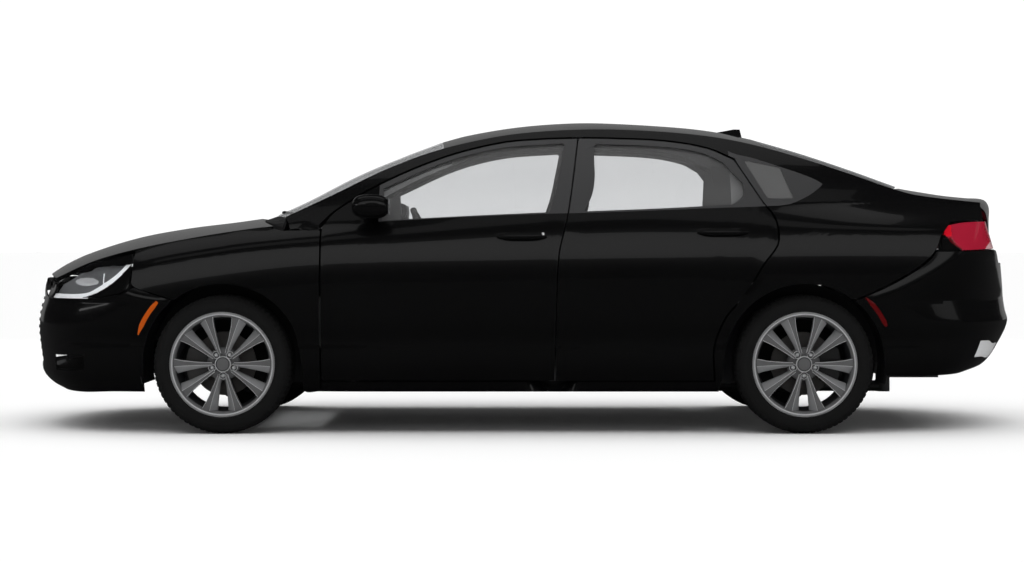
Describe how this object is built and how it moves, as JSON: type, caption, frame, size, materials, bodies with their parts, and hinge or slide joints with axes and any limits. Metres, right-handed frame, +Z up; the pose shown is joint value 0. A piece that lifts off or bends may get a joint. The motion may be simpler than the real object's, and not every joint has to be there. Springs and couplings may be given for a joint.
{
  "type": "sedan car",
  "caption": "Glossy black mid-size sedan with satin grey alloy wheels, opening doors, hood and boot lid, steered front wheels and a hollow cabin.",
  "frame": {"origin": "on the road, under the middle of the car's length and width", "axes": "+X towards the tail along the car's length, +Y towards its right-hand side, +Z up"},
  "size_m": [4.8851, 2.0152, 1.51],
  "materials": {
    "paint": "gloss",
    "glass": "gloss",
    "clear_lens": "gloss",
    "red_lens": "gloss",
    "marker_lens": "gloss",
    "trim": "satin",
    "chassis": "matte",
    "alloy": "satin",
    "wheel_alloy": "satin",
    "iron": "matte",
    "steel": "satin",
    "hide": "satin",
    "tyre": "matte"
  },
  "bodies": {
    "car_body": {"floor_pan": "chassis", "side_frame_left": "paint", "side_frame_right": "paint", "roof_panel": "paint", "front_fenders": "paint", "front_bumper": "paint", "grille": "trim", "rear_bumper": "paint", "cowl": "trim", "windscreen": "glass", "rear_window": "glass", "quarter_windows": "glass", "headlamps": "clear_lens", "fog_lamps": "clear_lens", "tail_lamps": "red_lens", "side_markers": "marker_lens", "wheel_liners": "trim", "engine_block": "alloy", "front_subframe": "chassis", "rear_subframe": "chassis", "exhaust": "steel", "dashboard": "trim", "steering_wheel": "trim", "front_seats": "hide", "rear_seat": "hide", "wipers": "trim", "antenna_fin": "paint"},
    "hood_body": {"hood": "paint"},
    "boot_lid_body": {"boot_lid": "paint"},
    "front_door_left_body": {"front_door_left": "paint", "front_glass_left": "glass", "mirror_left": "paint"},
    "rear_door_left_body": {"rear_door_left": "paint", "rear_glass_left": "glass"},
    "knuckle_left_body": {"knuckle_left": "iron"},
    "front_door_right_body": {"front_door_right": "paint", "front_glass_right": "glass", "mirror_right": "paint"},
    "rear_door_right_body": {"rear_door_right": "paint", "rear_glass_right": "glass"},
    "knuckle_right_body": {"knuckle_right": "iron"},
    "wheel_front_left_body": {"wheel_front_left": "wheel_alloy", "tyre_front_left": "tyre"},
    "wheel_front_right_body": {"wheel_front_right": "wheel_alloy", "tyre_front_right": "tyre"},
    "wheel_rear_left_body": {"wheel_rear_left": "wheel_alloy", "tyre_rear_left": "tyre"},
    "wheel_rear_right_body": {"wheel_rear_right": "wheel_alloy", "tyre_rear_right": "tyre"}
  },
  "joints": [
    {"name": "front_door_left_hinge", "type": "hinge", "parent": "car_body", "child": "front_door_left_body", "pos_m": [-0.897, -0.898, 0.6], "axis": [0, 0, -1], "range_deg": [0, 65]},
    {"name": "rear_door_left_hinge", "type": "hinge", "parent": "car_body", "child": "rear_door_left_body", "pos_m": [0.218, -0.901, 0.6], "axis": [0, 0, -1], "range_deg": [0, 65]},
    {"name": "front_door_right_hinge", "type": "hinge", "parent": "car_body", "child": "front_door_right_body", "pos_m": [-0.897, 0.898, 0.6], "axis": [0, 0, 1], "range_deg": [0, 65]},
    {"name": "rear_door_right_hinge", "type": "hinge", "parent": "car_body", "child": "rear_door_right_body", "pos_m": [0.218, 0.901, 0.6], "axis": [0, 0, 1], "range_deg": [0, 65]},
    {"name": "hood_hinge", "type": "hinge", "parent": "car_body", "child": "hood_body", "pos_m": [-1.16, 0, 0.952], "axis": [0, 1, 0], "range_deg": [0, 50]},
    {"name": "boot_hinge", "type": "hinge", "parent": "car_body", "child": "boot_lid_body", "pos_m": [1.79, 0, 1.15], "axis": [0, -1, 0], "range_deg": [0, 70]},
    {"name": "steer_left", "type": "hinge", "parent": "car_body", "child": "knuckle_left_body", "pos_m": [-1.4225, -0.755, 0.327], "axis": [0, 0, 1], "range_deg": [-30, 30]},
    {"name": "steer_right", "type": "hinge", "parent": "car_body", "child": "knuckle_right_body", "pos_m": [-1.4225, 0.755, 0.327], "axis": [0, 0, 1], "range_deg": [-30, 30]},
    {"name": "wheel_front_left_spin", "type": "hinge", "parent": "knuckle_left_body", "child": "wheel_front_left_body", "pos_m": [-1.4225, -0.796, 0.327], "axis": [0, 1, 0], "continuous": true},
    {"name": "wheel_front_right_spin", "type": "hinge", "parent": "knuckle_right_body", "child": "wheel_front_right_body", "pos_m": [-1.4225, 0.796, 0.327], "axis": [0, 1, 0], "continuous": true},
    {"name": "wheel_rear_left_spin", "type": "hinge", "parent": "car_body", "child": "wheel_rear_left_body", "pos_m": [1.3195, -0.796, 0.327], "axis": [0, 1, 0], "continuous": true},
    {"name": "wheel_rear_right_spin", "type": "hinge", "parent": "car_body", "child": "wheel_rear_right_body", "pos_m": [1.3195, 0.796, 0.327], "axis": [0, 1, 0], "continuous": true}
  ],
  "couplings": [
    {"joint": "steer_right", "follows": "steer_left", "ratio": 1}
  ]
}
